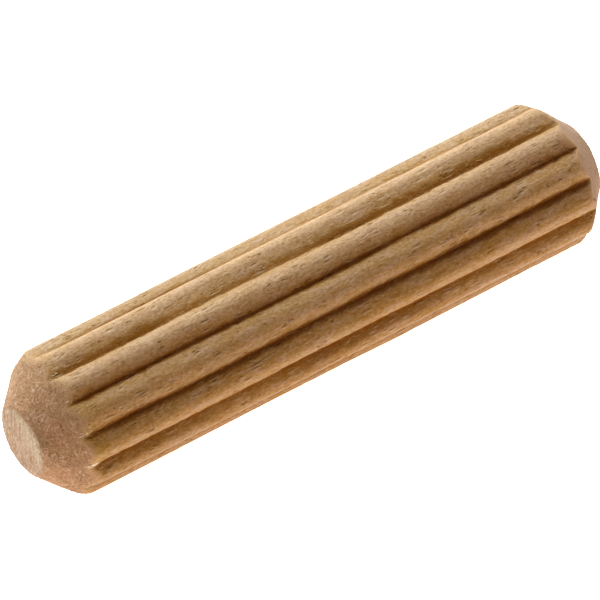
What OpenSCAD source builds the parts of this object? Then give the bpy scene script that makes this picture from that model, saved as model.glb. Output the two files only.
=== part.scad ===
// Fluted wooden dowel pin: one turned length of beech with pressed ribs along
// its shank and a chamfer at each end. It lies along X with its centre at the
// origin, and rests on the two ribs either side of the groove that points down.

/* [Body] */
// Length over both end faces, mm
length = 35; // [20:1:120]
// Diameter over the rib crests, mm
crest_d = 8; // [6:0.1:16]

/* [Ribs] */
// Number of ribs round the shank
rib_count = 12; // [8:1:18]
// Radius of each rounded rib crest, mm
rib_crest_r = 0.8; // [0.4:0.05:1.1]
// Angle by which a rib's flanks fall away from its crest, degrees
flank_tilt = 34; // [20:1:42]
// Depth of the grooves, from the rib crests to the groove roots, mm
groove_depth = 0.5; // [0.2:0.02:0.9]
// Angle between the walls of the narrow cut along the middle of each groove, degrees
cut_angle = 76; // [40:1:90]
// Width of a groove's root, mm
root_w = 0.06; // [0.02:0.01:0.2]

/* [Ends] */
// Length of each end chamfer along the pin, mm
chamfer_l = 2; // [0.5:0.1:4]
// Diameter of the flat end face inside each chamfer, mm
end_face_d = 4; // [2:0.1:5]

/* [Hidden] */
$fn = 96;

crest_r = crest_d / 2;
root_r = crest_r - groove_depth;
rib_pitch = 360 / rib_count;

// The flanks start this far inside the crest's arc, so that arc and flank cross cleanly
flank_seat = 0.002;
// The flanks end this share of a pitch from their own crest, inside the next rib
flank_run = 0.8;
// The ribs run this far past each end before the end faces and chamfers cut them
run_out = 1;
// How far outside the crests the cutting shapes reach
clear = 1;

// One rib from the axis outwards, its crest on +X: a round crest, and straight flanks
// that run down from it and on into the ribs on both sides
module rib_outline() {
    crest_centre = crest_r - rib_crest_r;
    flank_start_r = rib_crest_r - flank_seat;
    flank_start = [
        crest_centre + flank_start_r * cos(flank_tilt),
        flank_start_r * sin(flank_tilt),
    ];
    flank_reach = crest_centre * cos(flank_tilt) + flank_start_r;
    end_turn = flank_run * rib_pitch;
    flank_end_r = flank_reach / cos(end_turn - flank_tilt);
    flank_end = flank_end_r * [cos(end_turn), sin(end_turn)];
    polygon([
        [0, 0],
        [flank_end.x, -flank_end.y],
        [flank_start.x, -flank_start.y],
        flank_start,
        flank_end,
    ]);
    translate([crest_centre, 0])
        circle(r = rib_crest_r);
}

// The narrow cut along the middle of a groove, opening along +X
module cut_outline() {
    half_angle = cut_angle / 2;
    apex = root_r - root_w / 2 / tan(half_angle);
    mouth = crest_r + clear;
    half_mouth = (mouth - apex) * tan(half_angle);
    polygon([[apex, 0], [mouth, -half_mouth], [mouth, half_mouth]]);
}

// The shank's cross-section: ribs round a core that reaches up to the groove roots,
// with the first rib's crest on +X
module ribbed_section() {
    circle(r = root_r);
    difference() {
        for (i = [0 : rib_count - 1])
            rotate(i * rib_pitch)
                rib_outline();
        for (i = [0 : rib_count - 1])
            rotate((i + 0.5) * rib_pitch)
                cut_outline();
    }
}

// What the end cuts leave: flat end faces, and cones that widen inwards from them
// until they are clear of the crests
module end_envelope() {
    end_face_r = end_face_d / 2;
    slope = chamfer_l / (crest_r - end_face_r);
    outer_r = crest_r + clear;
    cone_l = (outer_r - end_face_r) * slope;
    rotate_extrude()
        polygon([
            [0, -length / 2],
            [end_face_r, -length / 2],
            [outer_r, -length / 2 + cone_l],
            [outer_r, length / 2 - cone_l],
            [end_face_r, length / 2],
            [0, length / 2],
        ]);
}

// Half a pitch of turn puts a groove straight down once the pin lies along X
module dowel_pin() {
    color("burlywood")
        rotate([0, 90, 0])
            rotate(rib_pitch / 2)
                intersection() {
                    linear_extrude(height = length + 2 * run_out, center = true)
                        ribbed_section();
                    end_envelope();
                }
}

dowel_pin();
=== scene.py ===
"""Looks of a fluted beech dowel pin: pressed ribs, chamfered ends, raw wood.

Everything is in metres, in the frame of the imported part: the pin lies along X with its centre at the
origin and rests on the two ribs either side of its lowest groove. Its near end is at -X.
"""

import math

import bpy
import numpy as np
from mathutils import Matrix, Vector


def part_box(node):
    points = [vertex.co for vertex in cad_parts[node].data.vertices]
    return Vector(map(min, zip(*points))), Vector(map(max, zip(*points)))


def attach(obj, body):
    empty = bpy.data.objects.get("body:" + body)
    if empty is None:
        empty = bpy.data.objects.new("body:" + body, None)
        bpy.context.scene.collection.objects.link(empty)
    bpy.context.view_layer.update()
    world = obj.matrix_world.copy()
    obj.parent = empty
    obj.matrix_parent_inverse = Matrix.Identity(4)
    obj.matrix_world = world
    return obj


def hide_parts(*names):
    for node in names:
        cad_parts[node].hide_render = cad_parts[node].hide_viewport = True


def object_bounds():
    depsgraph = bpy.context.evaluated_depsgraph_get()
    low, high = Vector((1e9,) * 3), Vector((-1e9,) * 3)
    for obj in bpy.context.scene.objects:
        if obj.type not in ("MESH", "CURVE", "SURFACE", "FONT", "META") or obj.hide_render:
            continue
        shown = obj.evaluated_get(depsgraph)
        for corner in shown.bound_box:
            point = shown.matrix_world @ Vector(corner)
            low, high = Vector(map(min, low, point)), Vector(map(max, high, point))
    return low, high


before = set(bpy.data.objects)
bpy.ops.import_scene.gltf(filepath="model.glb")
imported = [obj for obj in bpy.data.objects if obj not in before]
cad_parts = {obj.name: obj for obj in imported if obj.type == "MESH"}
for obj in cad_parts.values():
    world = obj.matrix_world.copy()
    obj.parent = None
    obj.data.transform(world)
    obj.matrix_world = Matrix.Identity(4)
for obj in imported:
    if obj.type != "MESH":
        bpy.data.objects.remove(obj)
cad_low, cad_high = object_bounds()

MM = 0.001
PIN = "dowel_pin"
_, node_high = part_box(PIN)

# The pressed shank. Ribs and grooves are counted from the top groove over the front and round.
RIBS = 12
PITCH = 2 * math.pi / RIBS
CREST_R = 0.8 * MM
FLANK_TILT = math.radians(34)
ROOT_WIDTH = 0.06 * MM
# Width over which a rib's edge is rounded into its groove
SHOULDER = 0.16 * MM
GROOVE_DEPTH = np.array((0.46, 0.5, 0.5, 0.48, 0.44, 0.48, 0.5, 0.46, 0.5, 0.48, 0.42, 0.37)) * MM
# Degrees from straight in at which each groove's two walls stand: the one on the rib before it, then
# the one on the rib after it
WALL_BEFORE = np.radians((56, 42, 40, 38, 38, 42, 38, 46, 38, 40, 38, 38))
WALL_AFTER = np.radians((38, 38, 36, 52, 40, 38, 44, 38, 40, 38, 38, 38))
# Degrees by which each groove lies off its even place
GROOVE_SHIFT = np.array((2.0, -0.35, -1.9, -2.6, 0.2, -2.5, 1.0, -0.8, 0.6, -1.0, -4.5, -5.0))
# Degrees by which each groove strays from one end of the shank to the other
GROOVE_LEAN = np.array((0.0, -0.5, -0.8, -0.6, 0.3, 0.8, -0.4, 0.5, -0.9, 0.6, 0.0, 0.4))
# Degrees by which each groove bows out at the middle of the shank
GROOVE_BOW = np.array((0.3, 0.0, 0.8, 1.2, 0.0, -0.6, 0.4, 0.0, 0.9, -0.5, 0.0, 0.3))
# How brown each wall was burnished by the pressing, and how much painted shade is laid on it where it lies
# in shade
BURNISH_AND_SHADE_BEFORE = np.array((0.98, 0.35, 0.5, 0.0, 0.1, 0.3, 0.8, 0.5, 0.3, 0.9, 0.4, 0.0))
BURNISH_AND_SHADE_AFTER = np.array((0.05, 0.0, 0.4, 0.95, 0.05, 0.7, 0.2, 0.6, 0.8, 0.1, 0.2, 0.6))
# How far up the rib each wall's burnish and painted shade reach
REACH_BEFORE = np.array((0.26, 0.26, 0.18, 0.2, 0.2, 0.2, 0.3, 0.2, 0.3, 0.2, 0.3, 0.2)) * MM
REACH_AFTER = np.array((0.2, 0.2, 0.29, 0.36, 0.5, 0.2, 0.2, 0.4, 0.2, 0.3, 0.2, 0.35)) * MM
# How pale the rib is above each wall: partly worn pale fibres, partly a painted highlight on the lower
# edges that the floor lights
PALE_AND_HIGHLIGHT_BEFORE = np.array((0.0, 0.0, 0.5, 0.8, 2.4, 0.4, 0.0, 0.3, 0.2, 0.0, 0.1, 0.6))
PALE_AND_HIGHLIGHT_AFTER = np.array((0.1, 0.3, 0.0, 0.0, 0.6, 0.2, 0.4, 0.0, 0.1, 0.5, 0.1, 0.0))
# How dark each groove's root is stained, partly real stain and partly painted shade
ROOT_STAIN_AND_SHADE = np.array((1.0, 0.15, 0.2, 0.4, 0.4, 0.3, 0.2, 0.5, 0.2, 0.3, 0.8, 0.9))
# How much of each groove's depth is closed up at the near border and at the far one, fading inwards
NEAR_CLOSING = np.array((0.15, 0.4, 0.3, 0.4, 0.3, 0.2, 0.1, 0.3, 0.2, 0.0, 0.2, 0.5))
FAR_CLOSING = 0.1
CLOSING_LENGTH = 0.35 * MM
# How pale each rib's crest has been rubbed, with a painted highlight on the upper half of the ribs that
# face the top light
CREST_RUB_AND_HIGHLIGHT = np.array((0.43, 0.15, 0.05, 0.1, 0.15, 0.3, 0.1, 0.2, 0.3, 0.2, 0.42, 0.47))
# How brown each rib's crest is: partly the wood's own tone, partly painted shade on ribs that get less
# light
RIB_BROWN_AND_SHADE = np.array((0.0, 0.5, 0.4, 0.1, 0.0, 0.3, 0.5, 0.1, 0.0, 0.4, 0.0, 0.06))
# How golden the near end of each rib has turned
END_GOLD = np.array((0.1, 0.6, 0.9, 0.4, 0.2, 0.1, 0.6, 0.3, 0.7, 0.2, 0.3, 0.4))
# How much prouder each rib's crest stands than the rest
RIB_RISE = np.array((0.0, 0.01, 0.0, 0.0, 0.03, 0.0, 0.01, 0.0, -0.01, 0.0, 0.03, 0.0)) * MM

# The ends
HALF_LENGTH = node_high.x
CHAMFER_LENGTH = 2.0 * MM
END_FACE_R = 2.0 * MM
# The pin lies on two crests, each half a pitch from straight down
PIN_R = (node_high.z - CREST_R) / math.cos(PITCH / 2) + CREST_R
SLOPE = CHAMFER_LENGTH / (PIN_R - END_FACE_R)
SHANK_END = HALF_LENGTH - CHAMFER_LENGTH
# The sawn faces stand a little proud of the nominal length
NEAR_FACE = HALF_LENGTH + 0.12 * MM
FAR_FACE = HALF_LENGTH + 0.05 * MM
# The near chamfer was cut a little off the axis, deepest at a turn from straight up
NEAR_OFFSET = 0.05 * MM
NEAR_OFFSET_TURN = math.radians(-52)
# The far chamfer was cut shallower, and bulges towards the ribs
FAR_LIFT = 0.1 * MM
FAR_BULGE = 0.07 * MM
# The end faces are creamier towards the bark, at a turn from straight up
BARK_TURN = math.radians(40)
# Widths over which the borders are worn round
GROOVE_END_WEAR = 0.1 * MM
NEAR_CREST_WEAR = 0.3 * MM
FAR_CREST_WEAR = 0.12 * MM
FACE_WEAR = 0.22 * MM
# A rib in front has lost the tip of its near end
CHIPPED_RIB = 3
CHIP_DEPTH = 0.13 * MM

# How many groups of tears there are in the shank
TEAR_GROUPS = 330

# The mesh
COLUMNS_PER_RIB = 32
COLUMNS = RIBS * COLUMNS_PER_RIB
ROW_STEP = 0.148 * MM
CHAMFER_RINGS = 20
FACE_RINGS = 18


# ---------------------------------------------------------------- seeded noise


def lattice_noise(points, size, seed):
    """Smooth noise from -1 to 1 at points of shape (n, 3), with blobs of about size along each axis."""
    cells = 64
    table = np.random.default_rng(seed).uniform(-1, 1, (cells, cells, cells))
    at = points / np.asarray(size)
    low = np.floor(at).astype(int)
    share = at - low
    share = share * share * (3 - 2 * share)
    total = np.zeros(len(points))
    for corner in np.ndindex(2, 2, 2):
        weight = np.prod(np.where(corner, share, 1 - share), axis=1)
        i, j, k = ((low + corner) % cells).T
        total += weight * table[i, j, k]
    return total


def smooth_step(value, low, high):
    share = np.clip((value - low) / (high - low), 0, 1)
    return share * share * (3 - 2 * share)


def soft_min(a, b, width):
    """The smaller of a and b, with the corner between them rounded over width."""
    h = np.clip(1 - np.abs(a - b) / width, 0, 1)
    return np.minimum(a, b) - h * h * width / 4


def soft_max(a, b, width):
    return -soft_min(-a, -b, width)


# ---------------------------------------------------------------- the wood's shape


def in_space(turn, x, radius):
    """Points at turns measured from straight up over the front, which faces -Y."""
    return np.column_stack([x, -radius * np.sin(turn), radius * np.cos(turn)])


def groove_lines(x):
    """The turn of each groove at places along the pin, from the top one round to the top again."""
    order = np.arange(RIBS)
    along = x[:, None]
    share = along / SHANK_END
    stray = np.radians(GROOVE_LEAN * share / 2 + GROOVE_BOW * (1 - share**2))
    wander = np.radians(0.3) * np.sin(along / (2.3 * MM) + 2.4 * order)
    wander += np.radians(0.4) * np.sin(along / (5.1 * MM) + 1.7 * order)
    lines = order * PITCH + np.radians(GROOVE_SHIFT) + stray + wander
    return np.column_stack([lines, lines[:, 0] + 2 * math.pi])


def rib_section(from_crest, from_groove, depth, wall):
    """Radius of the shank at angles from the nearest crest and groove, for a groove's depth and wall.

    Also says how far the wall there is sunk under the rib's own outline.
    """
    crest_centre = PIN_R - CREST_R
    # A straight flank leaves the crest's arc where its normal has turned by FLANK_TILT
    leave_x = crest_centre + CREST_R * math.cos(FLANK_TILT)
    leave_y = CREST_R * math.sin(FLANK_TILT)
    reach = crest_centre * math.cos(FLANK_TILT) + CREST_R
    across = np.minimum(crest_centre * np.abs(np.sin(from_crest)), CREST_R)
    crest = crest_centre * np.cos(from_crest) + np.sqrt(CREST_R**2 - across**2)
    flank = reach / np.cos(np.abs(from_crest) - FLANK_TILT)
    rib = np.where(np.abs(from_crest) < math.atan2(leave_y, leave_x), crest, flank)
    root = PIN_R - depth
    cut_slope = np.tan(wall)
    away = np.abs(from_groove)
    cut = (root * cut_slope - ROOT_WIDTH / 2) / (np.cos(away) * cut_slope - np.sin(away))
    return soft_max(soft_min(rib, cut, SHOULDER), root, SHOULDER / 4), rib - cut


def pressed_shank(turn, x):
    """The pressed shank at turns and places along it: its radius, and the marks that pressing left, some of
    them carrying painted shade and painted highlights.
    """
    lines = groove_lines(x)
    turn = lines[:, 0] + (turn - lines[:, 0]) % (2 * math.pi)
    rib = (turn[:, None] >= lines[:, 1:-1]).sum(axis=1)
    row = np.arange(len(x))
    start, stop = lines[row, rib], lines[row, rib + 1]
    across = (2 * turn - start - stop) / (stop - start)
    from_crest = turn - (start + stop) / 2
    from_groove = (stop - start) / 2 * (1 - np.abs(across))

    groove = (rib + (across > 0)) % RIBS
    from_near, from_far = SHANK_END + x, SHANK_END - x
    closing = NEAR_CLOSING[groove] * np.exp(-np.maximum(from_near, 0) / CLOSING_LENGTH)
    closing += FAR_CLOSING * np.exp(-np.maximum(from_far, 0) / CLOSING_LENGTH)
    places = in_space(turn, x, np.full(len(x), PIN_R))
    uneven = 0.12 * lattice_noise(places, (2.5 * MM, MM, MM), 11)
    ragged = 0.014 * lattice_noise(places, (0.3 * MM, 0.5 * MM, 0.5 * MM), 12)
    depth = GROOVE_DEPTH[groove] * (1 + uneven - closing)
    wall = np.where(across > 0, WALL_BEFORE[groove], WALL_AFTER[groove])
    radius, sunk = rib_section(from_crest, from_groove + ragged, depth, wall)
    # Each wall's burnish, which also carries painted shade where the wall lies in shade
    burnish = np.where(across > 0, BURNISH_AND_SHADE_BEFORE[groove], BURNISH_AND_SHADE_AFTER[groove])
    reach = np.where(across > 0, REACH_BEFORE[groove], REACH_AFTER[groove])
    # Pale lips by the walls: partly worn fibres, partly painted highlight
    pale = PALE_AND_HIGHLIGHT_BEFORE[(rib + 1) % RIBS] * smooth_step(across, -0.2, 0.4)
    pale += PALE_AND_HIGHLIGHT_AFTER[rib] * smooth_step(across, 0.2, -0.4)
    crest = (1 + np.cos(across * math.pi)) / 2
    # The upper half of each rib is paler than the lower, as a painted highlight
    rub_and_highlight = np.where(across > 0, crest, smooth_step(across, -1.0, -0.45))
    marks = {
        "burnish": burnish * smooth_step(sunk, -reach, 0.08 * MM),
        "pale": pale * smooth_step(sunk, 0.05 * MM, 0),
        "crest": CREST_RUB_AND_HIGHLIGHT[rib] * rub_and_highlight,
        # Browner crests: partly the wood's own tone, partly painted shade
        "brown": RIB_BROWN_AND_SHADE[rib] * crest,
        # Painted shade deep in the grooves
        "deep": smooth_step(radius, PIN_R - 0.3 * MM, PIN_R - 0.46 * MM),
        # The grooves' roots: partly stain, partly painted shade
        "root": ROOT_STAIN_AND_SHADE[groove] * smooth_step(from_groove * PIN_R, 0.16 * MM, 0.05 * MM),
        "gold": END_GOLD[rib] * smooth_step(x, -SHANK_END + 1.5 * MM, -SHANK_END + 0.3 * MM),
    }

    rise = RIB_RISE[rib] + 0.022 * MM * lattice_noise(places, (5 * MM, 1.3 * MM, 1.3 * MM), 13)
    return radius + rise * crest, marks


def chamfer_bite(turn, x, radius):
    """How much deeper than a true cone the chamfers are cut."""
    places = in_space(turn, np.sign(x) * HALF_LENGTH, np.full(len(x), PIN_R))
    wobble = 0.035 * MM * lattice_noise(places, (9 * MM, 1.1 * MM, 1.1 * MM), 21)
    middle = (CHIPPED_RIB + 0.5) * PITCH
    off_middle = np.abs((turn - middle + math.pi) % (2 * math.pi) - math.pi)
    chip = CHIP_DEPTH * smooth_step(off_middle, PITCH * 0.62, PITCH * 0.3)
    chip *= smooth_step(radius, PIN_R - 0.9 * MM, PIN_R - 0.1 * MM)
    near = chip + NEAR_OFFSET * np.cos(turn - NEAR_OFFSET_TURN)
    far = -FAR_LIFT - FAR_BULGE * smooth_step(radius, PIN_R - 1.4 * MM, PIN_R - 0.2 * MM)
    return wobble + np.where(x < 0, near, far)


def border_place(turn, side):
    """Where the shank meets the chamfer, as a distance from the pin's middle."""
    x = np.full(len(turn), side * SHANK_END)
    radius = pressed_shank(turn, x)[0]
    bite = chamfer_bite(turn, x, radius) * math.hypot(1, SLOPE)
    return HALF_LENGTH - (radius - END_FACE_R) * SLOPE - bite


def face_place(x):
    """How far the nearer end face is from the pin's middle."""
    return np.where(x < 0, NEAR_FACE, FAR_FACE)


def distances_outside(turn, x, radius, shank_radius):
    """How far points lie outside the shank, the chamfers and the end faces."""
    shank = radius - shank_radius
    cone = (np.abs(x) - HALF_LENGTH + (radius - END_FACE_R) * SLOPE) / math.hypot(1, SLOPE)
    return shank, cone + chamfer_bite(turn, x, radius), np.abs(x) - face_place(x)


def worn_surface(turn, x, radius, shank_radius):
    """Moves points onto the pin's surface, with its borders worn round, and says which way is out."""
    crest_wear = np.where(x < 0, NEAR_CREST_WEAR, FAR_CREST_WEAR)
    on_crest = smooth_step(shank_radius, PIN_R - 0.4 * MM, PIN_R)
    wear = GROOVE_END_WEAR + (crest_wear - GROOVE_END_WEAR) * on_crest

    def outside(x, radius):
        shank, cone, face = distances_outside(turn, x, radius, shank_radius)
        return soft_max(soft_max(shank, cone, wear), face, FACE_WEAR)

    nudge = 0.001 * MM
    for _ in range(4):
        off = outside(x, radius)
        out_x = (outside(x + nudge, radius) - off) / nudge
        out_r = (outside(x, radius + nudge) - off) / nudge
        steepness = np.maximum(out_x**2 + out_r**2, 0.25)
        x = x - off * out_x / steepness
        radius = np.maximum(radius - off * out_r / steepness, 0)
    length = np.maximum(np.hypot(out_x, out_r), 0.5)
    return x, radius, out_x / length, out_r / length


# ---------------------------------------------------------------- the wood's surface


def scatter_tears(rows):
    """Short tears along the grain, in small groups, on a grid of rows and COLUMNS.

    Gives from 0 to 1 how open a tear is there, and how far its edge on the next column is lifted.
    """
    random = np.random.default_rng(31)
    tears, lifted = np.zeros((2, rows, COLUMNS))
    for _ in range(TEAR_GROUPS):
        group_row, group_column = random.integers(rows), random.integers(COLUMNS)
        for _ in range(random.integers(1, 6)):
            row = group_row + random.normal(0, 1.8)
            column = int(group_column + random.normal(0, 4.0)) % COLUMNS
            half_length = random.uniform(0.9, 2.6)
            depth = random.uniform(0.4, 1.0)
            for i in range(max(0, int(row - half_length)), min(rows, int(row + half_length) + 1)):
                fade = depth * max(0, 1 - ((i - row) / half_length) ** 2)
                tears[i, column] = max(tears[i, column], fade)
                tears[i, column - 1] = max(tears[i, column - 1], 0.3 * fade)
                edge = (column + 1) % COLUMNS
                lifted[i, edge] = max(lifted[i, edge], fade)
    return tears, lifted


def relief(points, end_share, face_share):
    """How far the wood's own texture lifts or sinks the surface."""
    streaks = lattice_noise(points, (1.8 * MM, 0.25 * MM, 0.25 * MM), 41)
    tufts = lattice_noise(points, (0.5 * MM, 0.16 * MM, 0.16 * MM), 42)
    swells = lattice_noise(points, (3.0 * MM, 0.7 * MM, 0.7 * MM), 43)
    side_grain = 0.004 * streaks + 0.007 * tufts + 0.012 * swells
    specks = lattice_noise(points, (0.16 * MM, 0.16 * MM, 0.16 * MM), 44)
    dents = lattice_noise(points, (0.6 * MM, 0.6 * MM, 0.6 * MM), 45)
    end_grain = 0.005 * specks + 0.01 * dents
    sawn = lattice_noise(points, (1.0 * MM, 0.2 * MM, 0.9 * MM), 46)
    torn = lattice_noise(points, (0.3 * MM, 0.13 * MM, 0.4 * MM), 47)
    face = 0.03 * sawn + 0.016 * torn
    ends = end_grain * (1 - face_share) + face * face_share
    return MM * (side_grain * (1 - end_share) + ends * end_share)


# ---------------------------------------------------------------- the mesh


def spread_columns():
    """Each column's rib number and its place across the rib, from -1 at one groove to 1 at the next."""
    step = np.arange(COLUMNS_PER_RIB) / COLUMNS_PER_RIB * 2 - 1
    across = 0.55 * step + 0.45 * np.sin(step * math.pi / 2)
    return np.repeat(np.arange(RIBS), COLUMNS_PER_RIB), np.tile(across, RIBS)


def spread_rows():
    """Shares along the shank, from 0 at the near border to 1 at the far one, closer together at both."""
    near = np.array([0, 0.03, 0.07, 0.12, 0.19, 0.28, 0.39]) * MM
    length = 2 * SHANK_END
    middle = np.arange(near[-1] + ROW_STEP, length - near[-1] - ROW_STEP / 2, ROW_STEP)
    rows = np.concatenate([near, middle, length - near[::-1]])
    return rows / length


def column_turns(x):
    """Turns of a ring's points, so that a column runs along each groove and the rest share out the ribs."""
    rib, across = spread_columns()
    lines = groove_lines(np.array([x]))[0]
    start, stop = lines[rib], lines[rib + 1]
    return (start + stop) / 2 + (stop - start) / 2 * across


def shank_rings():
    """(turn, x, radius) of each ring down the shank."""
    near_turns, far_turns = column_turns(-SHANK_END), column_turns(SHANK_END)
    near, far = -border_place(near_turns, -1), border_place(far_turns, 1)
    rings = []
    for share in spread_rows():
        turn = column_turns(SHANK_END * (2 * share - 1))
        x = near + (far - near) * share
        rings.append((turn, x, pressed_shank(turn, x)[0]))
    return rings


def end_rings(rim):
    """(turn, x, radius) of each ring from the shank's rim in over the chamfer and across the end face.

    Rings get fewer points as they get smaller.
    """
    turn, x, radius = rim
    face_x = np.sign(x) * face_place(x)
    rings = []
    for share in np.linspace(0, 1, CHAMFER_RINGS + 1)[1:]:
        step = 1 if share < 0.4 else 2
        ring = (turn, x + (face_x - x) * share, radius + (END_FACE_R - radius) * share)
        rings.append(tuple(values[::step] for values in ring))
    for share in np.linspace(1, 0, FACE_RINGS + 1)[1:-1]:
        step = 2 if share > 0.7 else 4 if share > 0.35 else 8
        ring = (turn, face_x, np.full(len(x), END_FACE_R * share))
        rings.append(tuple(values[::step] for values in ring))
    return rings


def stitch(outer, inner, flip):
    """Faces between two rings of point numbers, where the inner has as many points or half as many."""
    faces = []
    ratio = len(outer) // len(inner)
    count = len(inner)
    for i in range(count):
        a, b = inner[i], inner[(i + 1) % count]
        arc = [outer[(i * ratio + k) % len(outer)] for k in range(ratio + 1)]
        if ratio == 1:
            faces.append((arc[0], arc[1], b, a))
        else:
            faces += [(arc[0], arc[1], a), (arc[1], b, a), (arc[1], arc[2], b)]
    return [face[::-1] for face in faces] if flip else faces


def add_layer(mesh, name, values):
    layer = mesh.attributes.new(name, "FLOAT", "POINT")
    layer.data.foreach_set("value", values.astype(np.float32))


def build_pin():
    kept = []

    def number(ring):
        first = sum(len(turn) for turn, _, _ in kept)
        kept.append(ring)
        return list(range(first, first + len(ring[0])))

    rings = shank_rings()
    numbers = [number(ring) for ring in rings]
    faces = []
    for before, after in zip(numbers, numbers[1:]):
        faces += stitch(before, after, True)
    for side, rim, before in ((-1, rings[0], numbers[0]), (1, rings[-1], numbers[-1])):
        for ring in end_rings(rim):
            after = number(ring)
            faces += stitch(before, after, side > 0)
            before = after
        hub_x = np.array([side * HALF_LENGTH])
        hub = number((np.zeros(1), side * face_place(hub_x), np.zeros(1)))[0]
        for i, point in enumerate(before):
            fan = (point, before[(i + 1) % len(before)], hub)
            faces.append(fan[::-1] if side > 0 else fan)

    turn, x, radius = (np.concatenate([ring[k] for ring in kept]) for k in range(3))
    shank_radius, marks = pressed_shank(turn, x)
    shank, cone, face = distances_outside(turn, x, radius, shank_radius)
    x, radius, out_x, out_r = worn_surface(turn, x, radius, shank_radius)
    fray = 0.05 * MM * lattice_noise(in_space(turn, x, radius), (0.3 * MM, 0.3 * MM, 0.3 * MM), 51)
    end_share = smooth_step(cone - shank + fray, -0.06 * MM, 0.05 * MM)
    face_share = smooth_step(face - cone + fray, -0.13 * MM, 0.02 * MM)
    # The crushed wood either side of the border
    past_border = cone - shank + 2 * fray
    rim = smooth_step(past_border, -0.4 * MM, 0) * smooth_step(past_border, 0.36 * MM, 0.1 * MM)
    # The side of the end faces that lay towards the bark is creamier
    toward = radius * np.cos(turn - BARK_TURN) + 8 * fray
    cream = smooth_step(toward, 0.2 * MM, 1.5 * MM)
    tears, lifted = np.zeros((2, len(x)))
    on_shank = len(rings) * COLUMNS
    tears[:on_shank], lifted[:on_shank] = (grid.ravel() for grid in scatter_tears(len(rings)))
    lift = relief(in_space(turn, x, radius), end_share, face_share)
    lift += MM * (0.015 * lifted - 0.04 * tears)
    x, radius = x + lift * out_x, np.maximum(radius + lift * out_r, 0)

    mesh = bpy.data.meshes.new("dowel_pin_wood")
    mesh.from_pydata(in_space(turn, x, radius).tolist(), [], faces)
    mesh.shade_smooth()
    sanded = smooth_step(x, 0, SHANK_END)
    layers = {"end_share": end_share, "face_share": face_share, "rim": rim, "cream": cream}
    layers.update(marks, sanded=sanded, tear=tears, lifted=lifted)
    for name, values in layers.items():
        add_layer(mesh, name, values)
    mesh.validate()
    pin = bpy.data.objects.new("dowel_pin_wood", mesh)
    bpy.context.scene.collection.objects.link(pin)
    return pin


# ---------------------------------------------------------------- torn fibres


def stand_off(random, turn, x, radius, heading, length, width, lift, fresh=(0.0, 0.15)):
    """Slivers rooted next to the given places, each with random sizes from the ranges, in millimetres.

    A sliver's heading is the angle in the wood's surface from +X towards the next rib.
    """
    count = len(turn)
    x, radius, out_x, out_r = worn_surface(turn, x, radius, pressed_shank(turn, x)[0])
    round_axis = np.column_stack([np.zeros(count), -np.cos(turn), -np.sin(turn)])
    radial = np.column_stack([np.zeros(count), -np.sin(turn), np.cos(turn)])
    axis = np.array([[1.0, 0, 0]])
    out = out_x[:, None] * axis + out_r[:, None] * radial
    down_grain = out_r[:, None] * axis - out_x[:, None] * radial
    along = np.cos(heading)[:, None] * down_grain + np.sin(heading)[:, None] * round_axis
    sizes = {
        "length": random.uniform(*length, count) * MM,
        "width": random.uniform(*width, count) * MM,
        "lift": random.uniform(*lift, count) * MM,
        "bend": random.uniform(-0.3, 0.3, count),
        "fresh": random.uniform(*fresh, count),
    }
    sizes = {name: values[:, None] for name, values in sizes.items()}
    return {"root": in_space(turn, x, radius), "out": out, "along": along, **sizes}


def scatter_slivers():
    random = np.random.default_rng(61)
    groups = []

    def shank_places(count):
        x = random.uniform(-SHANK_END, SHANK_END, count)
        return x, random.integers(RIBS, size=count), random.choice((0.0, math.pi), count)

    # Fuzz all over the ribs
    count = 900
    x, rib, back = shank_places(count)
    turn = (rib + random.uniform(0.1, 0.9, count)) * PITCH
    heading = back + random.normal(0, 0.25, count)
    sizes = (0.08, 0.28), (0.02, 0.05), (0.0, 0.02)
    groups.append(stand_off(random, turn, x, np.full(count, PIN_R), heading, *sizes))
    # Frayed edges of the grooves
    count = 600
    x, rib, back = shank_places(count)
    off_line = random.choice((-1, 1), count) * np.radians(random.uniform(3.2, 5.0, count))
    turn = groove_lines(x)[np.arange(count), rib] + off_line
    heading = back + random.normal(0, 0.15, count)
    sizes = (0.12, 0.45), (0.02, 0.04), (0.0, 0.006)
    groups.append(stand_off(random, turn, x, np.full(count, PIN_R), heading, *sizes))
    # Fuzz where the chamfers cut the ribs off, over the chamfers and over the end faces
    zones = (500, 3.35, 4.0, 0.3), (500, 2.0, 3.8, 0.25), (300, 0.3, 2.0, 0.35)
    for count, low, high, longest in zones:
        end = random.choice((-1, 1), count)
        turn = random.uniform(0, 2 * math.pi, count)
        radius = np.sqrt(random.uniform(low**2, high**2, count)) * MM
        x = end * (HALF_LENGTH - np.maximum(radius - END_FACE_R, 0) * SLOPE)
        heading = random.uniform(0, 2 * math.pi, count)
        sizes = (0.08, longest), (0.02, 0.045), (0.0, 0.04)
        groups.append(stand_off(random, turn, x, radius, heading, *sizes))
    # Splinters at the near tips of the grooves in front
    tips = (0, 3, 0.3, 0.06), (1, 4, 0.35, 0.06), (2, 8, 0.45, 0.08), (3, 26, 0.6, 0.09)
    for groove, count, longest, widest in tips:
        x = -SHANK_END + random.uniform(-0.25, 0.4, count) * MM
        turn = groove_lines(x)[:, groove] + np.radians(random.uniform(-4.2, -2.4, count))
        heading = math.pi + random.normal(0, 0.12, count)
        sizes = (0.2, longest), (0.03, widest), (0.0, 0.02), (0.8, 1.0)
        groups.append(stand_off(random, turn, x, np.full(count, PIN_R), heading, *sizes))
    return {name: np.concatenate([group[name] for group in groups]) for name in groups[0]}


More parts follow.
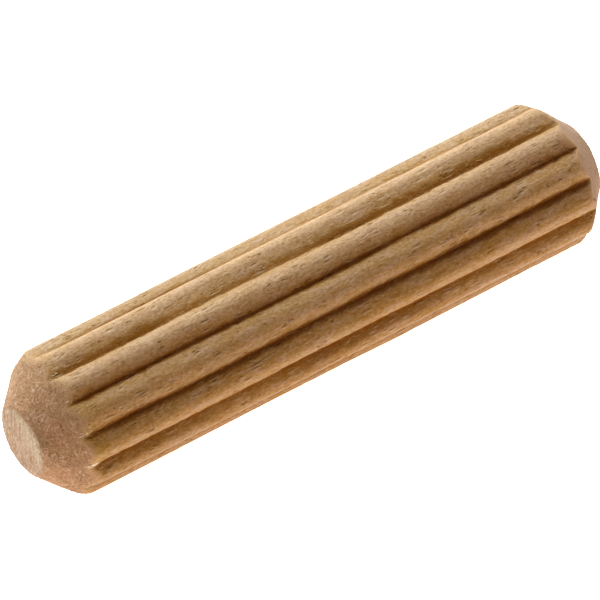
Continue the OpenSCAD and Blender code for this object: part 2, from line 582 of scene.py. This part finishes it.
def build_slivers():
    """The torn fibres: thin spindles with three sides, sunk into the wood at their roots."""
    fibre = scatter_slivers()
    side = np.cross(fibre["out"], fibre["along"])

    def middle(share):
        run = share * fibre["length"]
        raised = math.sin(2.4 * share) * fibre["lift"] - 0.012 * MM * (1 - share)
        bent = fibre["bend"] * share**2 * fibre["length"]
        return fibre["root"] + run * fibre["along"] + bent * side + raised * fibre["out"]

    points = [middle(0.0)]
    for share in (0.15, 0.4, 0.65, 0.88):
        reach = fibre["width"] / 2 * math.sin(math.pi * share) ** 0.6
        for corner in (0.5, 2.6, 4.7):
            sideways = math.cos(corner) * side
            upwards = 0.4 * math.sin(corner) * fibre["out"]
            points.append(middle(share) + reach * (sideways + upwards))
    points.append(middle(1.0))
    each = len(points)
    pattern = []
    for k in range(3):
        a, b = 1 + k, 1 + (k + 1) % 3
        pattern += [(0, b, a), (each - 1, each - 4 + k, each - 4 + (k + 1) % 3)]
        pattern += [(a + ring, b + ring, b + ring + 3, a + ring + 3) for ring in (0, 3, 6)]
    count = len(side)
    faces = [tuple(sliver * each + i for i in face) for sliver in range(count) for face in pattern]

    mesh = bpy.data.meshes.new("torn_fibres")
    mesh.from_pydata(np.stack(points, axis=1).reshape(-1, 3).tolist(), [], faces)
    add_layer(mesh, "fresh", np.repeat(fibre["fresh"], each))
    slivers = bpy.data.objects.new("torn_fibres", mesh)
    bpy.context.scene.collection.objects.link(slivers)
    return slivers


# ---------------------------------------------------------------- finishes


class Shade:
    """A shader socket that Python's operators add Math nodes to."""

    def __init__(self, finish, socket):
        self.finish = finish
        self.socket = socket

    def math(self, operation, *operands):
        sockets = dict(enumerate(operands))
        return self.finish.add("ShaderNodeMath", {"operation": operation}, sockets)

    def __abs__(self):
        return self.math("ABSOLUTE", self)

    def __add__(self, other):
        return self.math("ADD", self, other)

    def __sub__(self, other):
        return self.math("SUBTRACT", self, other)

    def __rsub__(self, other):
        return self.math("SUBTRACT", other, self)

    def __mul__(self, other):
        return self.math("MULTIPLY", self, other)

    __radd__ = __add__
    __rmul__ = __mul__


class Finish:
    """A material whose nodes are added one at a time."""

    def __init__(self, name):
        self.material = bpy.data.materials.new(name)
        self.material.use_nodes = True
        self.tree = self.material.node_tree
        self.tree.nodes.clear()

    def add(self, kind, settings, sockets, output=0):
        """Adds a node of a kind, with its settings and then its sockets' values or links."""
        node = self.tree.nodes.new(kind)
        for name, value in settings.items():
            setattr(node, name, value)
        for name, value in sockets.items():
            if isinstance(value, Shade):
                self.tree.links.new(value.socket, node.inputs[name])
            else:
                node.inputs[name].default_value = value
        return Shade(self, node.outputs[output])

    def layer(self, name):
        return self.add("ShaderNodeAttribute", {"attribute_name": name}, {}, "Fac")

    def stretched(self, size):
        """Object coordinates in which a blob of noise is about size millimetres along each axis."""
        coords = self.add("ShaderNodeTexCoord", {}, {}, "Object")
        scale = tuple(1 / (MM * side) for side in size)
        return self.add("ShaderNodeVectorMath", {"operation": "MULTIPLY"}, {0: coords, 1: scale})

    def noise(self, size, detail, roughness=0.5):
        """Noise from 0 to 1 round 0.5 in blobs of size."""
        sockets = {
            "Vector": self.stretched(size),
            "Scale": 1.0,
            "Detail": detail,
            "Roughness": roughness,
        }
        return self.add("ShaderNodeTexNoise", {}, sockets, "Fac")

    def threads(self, size, width, cover):
        """1 along thin winding threads of a width, broken off outside a share of the surface."""
        off_line = self.noise(size, 1) - 0.5
        thread = self.between(abs(off_line), width, 0.3 * width)
        patch = self.noise(tuple(1.7 * side for side in size), 1)
        return thread * self.between(patch, 0.5 - cover / 4, 0.56 - cover / 4)

    def between(self, value, low, high):
        """0 below low and 1 above high, with a smooth step between; low may be the larger."""
        sockets = {"Value": value, "From Min": low, "From Max": high}
        return self.add("ShaderNodeMapRange", {"interpolation_type": "SMOOTHSTEP"}, sockets)

    def blend(self, share, first, second):
        """The colour first where share is 0 and second where it is 1."""
        first, second = (c if isinstance(c, Shade) else (*c, 1) for c in (first, second))
        return self.add("ShaderNodeMix", {"data_type": "RGBA"}, {0: share, 6: first, 7: second}, 2)

    def surface(self, colour, roughness, normal, fixed):
        """Ends the material in one Principled shader, with the values that are the same everywhere."""
        sockets = {"Base Color": colour, "Roughness": roughness, "Normal": normal, **fixed}
        shader = self.add("ShaderNodeBsdfPrincipled", {}, sockets)
        self.add_output(shader)
        return self.material

    def add_output(self, shader):
        output = self.tree.nodes.new("ShaderNodeOutputMaterial")
        self.tree.links.new(shader.socket, output.inputs["Surface"])


def side_grain(beech):
    """Colour and height of the pressed sides: short felted fibres, dark pores, burnished walls with painted
    shade in the grooves, and pale crests and lips with painted highlights.
    """
    tan, honey = (0.42, 0.246, 0.1), (0.41, 0.224, 0.072)
    pinkish, olive = (0.45, 0.28, 0.17), (0.35, 0.197, 0.067)
    patches = beech.noise((2.2, 0.7, 0.7), 2)
    colour = beech.blend(beech.between(patches, 0.4, 0.6), tan, honey)
    # Browner crests: partly the wood's own tone, partly painted shade on ribs that get less light
    colour = beech.blend(beech.layer("brown"), colour, (0.38, 0.196, 0.043))
    # Pale crests: partly rubbed wood, partly a painted highlight where the ribs face the top light
    colour = beech.blend(beech.layer("crest"), colour, (0.56, 0.392, 0.288))
    blush = beech.noise((1.4, 0.45, 0.45), 2) + 0.07 * beech.layer("sanded")
    colour = beech.blend(0.6 * beech.between(blush, 0.52, 0.64), colour, pinkish)
    colour = beech.blend(0.4 * beech.between(blush, 0.46, 0.36), colour, olive)
    gold = beech.between(beech.layer("gold") + 0.8 * (patches - 0.5), 0.2, 0.8)
    colour = beech.blend(0.75 * gold, colour, (0.4, 0.225, 0.055))

    felt = beech.noise((0.2, 0.12, 0.12), 3, 0.6)
    colour = beech.blend(0.3 * beech.between(felt, 0.52, 0.66), colour, (0.6, 0.42, 0.28))

    fray = beech.noise((0.5, 0.13, 0.13), 3, 0.6)
    # Burnished walls, darkened further as painted shade
    mark = beech.layer("burnish")
    burnish = beech.between(mark + 0.8 * (fray - 0.5), 0.1, 0.9) * beech.between(mark, 0.0, 0.2)
    colour = beech.blend(0.8 * burnish, colour, (0.27, 0.127, 0.022))
    # Painted shade deep in the grooves
    colour = beech.blend(0.6 * beech.layer("deep"), colour, (0.31, 0.115, 0.003))
    # The grooves' roots: partly stain, partly painted shade
    colour = beech.blend(0.65 * beech.layer("root"), colour, (0.2, 0.105, 0.038))
    # Pale lips by the walls: partly worn fibres, partly painted highlight
    pale = beech.layer("pale") * beech.between(fray, 0.3, 0.55)
    colour = beech.blend(0.4 * pale, colour, (0.49, 0.365, 0.265))

    colour = beech.blend(0.3 * beech.between(felt, 0.5, 0.38), colour, (0.24, 0.11, 0.025))
    streaks = beech.noise((0.9, 0.12, 0.12), 2, 0.5)
    colour = beech.blend(0.18 * beech.between(streaks, 0.46, 0.34), colour, (0.24, 0.11, 0.03))
    fibres = beech.threads((0.35, 0.12, 0.12), 0.06, 0.2)
    colour = beech.blend(0.16 * fibres, colour, (0.7, 0.53, 0.38))
    crushed = beech.between(beech.layer("rim") + 0.6 * (felt - 0.5), 0.3, 0.9)
    colour = beech.blend(0.4 * crushed, colour, (0.48, 0.305, 0.165))

    dashes = beech.noise((0.4, 0.065, 0.065), 1, 0.5)
    cluster = beech.between(beech.noise((1.1, 0.35, 0.35), 1), 0.54, 0.66)
    dark = beech.between(dashes, 0.57, 0.67) * cluster
    dark = beech.between(dark + beech.layer("tear"), 0.2, 0.9)
    colour = beech.blend(0.7 * dark, colour, (0.17, 0.07, 0.01))
    colour = beech.blend(0.45 * beech.layer("lifted"), colour, (0.72, 0.54, 0.38))
    return colour, 0.6 * felt + 0.2 * streaks + 0.2 * fibres - 0.4 * dark


def end_grain(beech):
    """Colour and height of the turned chamfers: pinkish end grain, specked and fuzzy."""
    pink, brown = (0.41, 0.24, 0.138), (0.37, 0.22, 0.121)
    clouds = beech.noise((1.1, 1.1, 1.1), 3)
    colour = beech.blend(beech.between(clouds, 0.42, 0.58), pink, brown)
    shade = beech.noise((1.7, 1.7, 1.7), 2)
    colour = beech.blend(0.45 * beech.between(shade, 0.52, 0.62), colour, (0.31, 0.195, 0.11))
    grit = beech.noise((0.13, 0.13, 0.13), 2, 0.6)
    colour = beech.blend(0.35 * beech.between(grit, 0.5, 0.4), colour, (0.22, 0.11, 0.06))
    colour = beech.blend(0.3 * beech.between(grit, 0.54, 0.64), colour, (0.58, 0.385, 0.26))
    specks = beech.noise((0.11, 0.11, 0.11), 1, 0.5)
    patch = beech.between(beech.noise((0.9, 0.9, 0.9), 1), 0.4, 0.6)
    specks = beech.between(specks, 0.615, 0.68) * (0.3 + 0.7 * patch)
    colour = beech.blend(0.55 * specks, colour, (0.13, 0.05, 0.028))
    curls = beech.threads((0.28, 0.28, 0.28), 0.06, 0.0)
    colour = beech.blend(0.35 * curls, colour, (0.66, 0.47, 0.34))
    colour = beech.blend(0.6 * beech.layer("sanded"), colour, (0.42, 0.28, 0.19))
    crushed = beech.between(beech.layer("rim") + 0.6 * (clouds - 0.5), 0.35, 0.9)
    colour = beech.blend(0.5 * crushed, colour, (0.48, 0.3, 0.165))
    return colour, (0.4 * grit + 0.3 * curls - 0.5 * specks) * (1 - 0.6 * beech.layer("sanded"))


def sawn_face(beech):
    """Colour and height of the sawn end faces: creamy torn fibres."""
    pinkish, tan, cream = (0.44, 0.295, 0.205), (0.41, 0.285, 0.195), (0.49, 0.375, 0.265)
    cloth = beech.noise((0.6, 0.5, 0.9), 2, 0.5)
    colour = beech.blend(beech.between(cloth, 0.4, 0.6), tan, pinkish)
    colour = beech.blend(beech.layer("cream"), colour, cream)
    fibres = beech.noise((0.3, 0.12, 0.3), 2, 0.6)
    colour = beech.blend(0.35 * beech.between(fibres, 0.5, 0.38), colour, (0.28, 0.17, 0.1))
    colour = beech.blend(0.35 * beech.between(fibres, 0.53, 0.65), colour, (0.66, 0.52, 0.38))
    threads = beech.threads((0.5, 0.2, 0.6), 0.05, 0.2)
    colour = beech.blend(0.3 * threads, colour, (0.74, 0.6, 0.44))
    gaps = beech.between(beech.noise((0.14, 0.12, 0.16), 1, 0.5), 0.65, 0.73)
    colour = beech.blend(0.6 * gaps, colour, (0.17, 0.085, 0.04))
    return colour, 0.8 * fibres + 0.3 * threads - 0.4 * gaps


def raw_beech():
    beech = Finish("raw_beech")
    side_colour, side_height = side_grain(beech)
    end_colour, end_height = end_grain(beech)
    face_colour, face_height = sawn_face(beech)
    end_share, face_share = beech.layer("end_share"), beech.layer("face_share")
    colour = beech.blend(face_share, end_colour, face_colour)
    colour = beech.blend(end_share, side_colour, colour)
    end_height = end_height * (1 - face_share) + face_height * face_share
    height = side_height * (1 - end_share) + end_height * end_share
    roughness = 0.72 + 0.2 * beech.noise((0.6, 0.2, 0.2), 2)
    bump = {"Strength": 1.0, "Distance": 0.03 * MM, "Height": height}
    normal = beech.add("ShaderNodeBump", {}, bump)
    return beech.surface(colour, roughness, normal, {"Specular IOR Level": 0.15})


def torn_wood():
    """The slivers: pale fresh fibres with a few brown ones."""
    wood = Finish("torn_wood")
    clouds = wood.noise((0.8, 0.4, 0.4), 1)
    colour = wood.blend(wood.between(clouds, 0.42, 0.58), (0.4, 0.25, 0.12), (0.48, 0.32, 0.18))
    colour = wood.blend(wood.layer("fresh"), colour, (0.8, 0.62, 0.46))
    strands = wood.noise((0.3, 0.04, 0.04), 1)
    colour = wood.blend(0.3 * wood.between(strands, 0.48, 0.34), colour, (0.33, 0.19, 0.08))
    bump = {"Strength": 0.5, "Distance": 0.002 * MM, "Height": strands}
    normal = wood.add("ShaderNodeBump", {}, bump)
    roughness = 0.75 + 0.2 * clouds
    return wood.surface(colour, roughness, normal, {"Specular IOR Level": 0.35})


def light_table():
    """The floor: a plain pale sheet that is lit from below."""
    sheet = Finish("light_table")
    sockets = {
        "Base Color": (0.9, 0.9, 0.9, 1),
        "Roughness": 0.6,
        "Emission Color": (1, 0.96, 0.94, 1),
        "Emission Strength": 0.92,
    }
    sheet.add_output(sheet.add("ShaderNodeBsdfPrincipled", {}, sockets))
    return sheet.material


# ---------------------------------------------------------------- the set


def lay_floor():
    reach = 0.8
    mesh = bpy.data.meshes.new("floor")
    z = cad_low.z
    corners = [(-reach, -reach, z), (reach, -reach, z), (reach, reach, z), (-reach, reach, z)]
    mesh.from_pydata(corners, [], [(0, 1, 2, 3)])
    floor = bpy.data.objects.new("floor", mesh)
    bpy.context.scene.collection.objects.link(floor)
    mesh.materials.append(light_table())


def hang_softbox(name, direction, distance, size, power, colour):
    light = bpy.data.lights.new(name, "AREA")
    light.shape = "SQUARE"
    light.size = size
    light.energy = power
    light.color = colour
    lamp = bpy.data.objects.new(name, light)
    lamp.location = Vector(direction).normalized() * distance
    lamp.rotation_euler = (-lamp.location).to_track_quat("-Z", "Y").to_euler()
    bpy.context.scene.collection.objects.link(lamp)


def light_the_set():
    world = bpy.data.worlds.new("studio")
    world.use_nodes = True
    world.node_tree.nodes["Background"].inputs["Color"].default_value = (1, 0.89, 0.74, 1)
    world.node_tree.nodes["Background"].inputs["Strength"].default_value = 0.19
    bpy.context.scene.world = world
    hang_softbox("top_softbox", (0.1, 0.9, 0.9), 0.6, 0.6, 6.5, (0.74, 0.88, 1.0))
    hang_softbox("front_fill", (-0.15, -0.8, 0.45), 0.6, 0.5, 0.32, (1.0, 0.82, 0.68))


def place_camera():
    azimuth, elevation = math.radians(-34.76), math.radians(47.08)
    # A long lens far off, both in millimetres
    lens, distance = 641, 554
    back = Vector(
        (
            math.sin(azimuth) * math.cos(elevation),
            -math.cos(azimuth) * math.cos(elevation),
            math.sin(elevation),
        )
    )
    right = Vector((math.cos(azimuth), math.sin(azimuth), 0))
    up = back.cross(right)
    data = bpy.data.cameras.new("camera")
    data.sensor_width = 36
    data.lens = lens
    data.clip_start, data.clip_end = 0.05, 5
    camera = bpy.data.objects.new("camera", data)
    aim = -right * 0.16 * MM - up * 0.093 * MM
    camera.location = aim + back * distance * MM
    camera.rotation_mode = "QUATERNION"
    camera.rotation_quaternion = back.to_track_quat("Z", "Y")
    bpy.context.scene.collection.objects.link(camera)
    bpy.context.scene.camera = camera


pin = build_pin()
pin.data.materials.append(raw_beech())
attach(pin, "root")
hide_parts(PIN)
slivers = build_slivers()
slivers.data.materials.append(torn_wood())
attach(slivers, "root")
lay_floor()
light_the_set()
place_camera()
bpy.context.scene.view_settings.view_transform = "Standard"
bpy.context.scene.view_settings.look = "High Contrast"
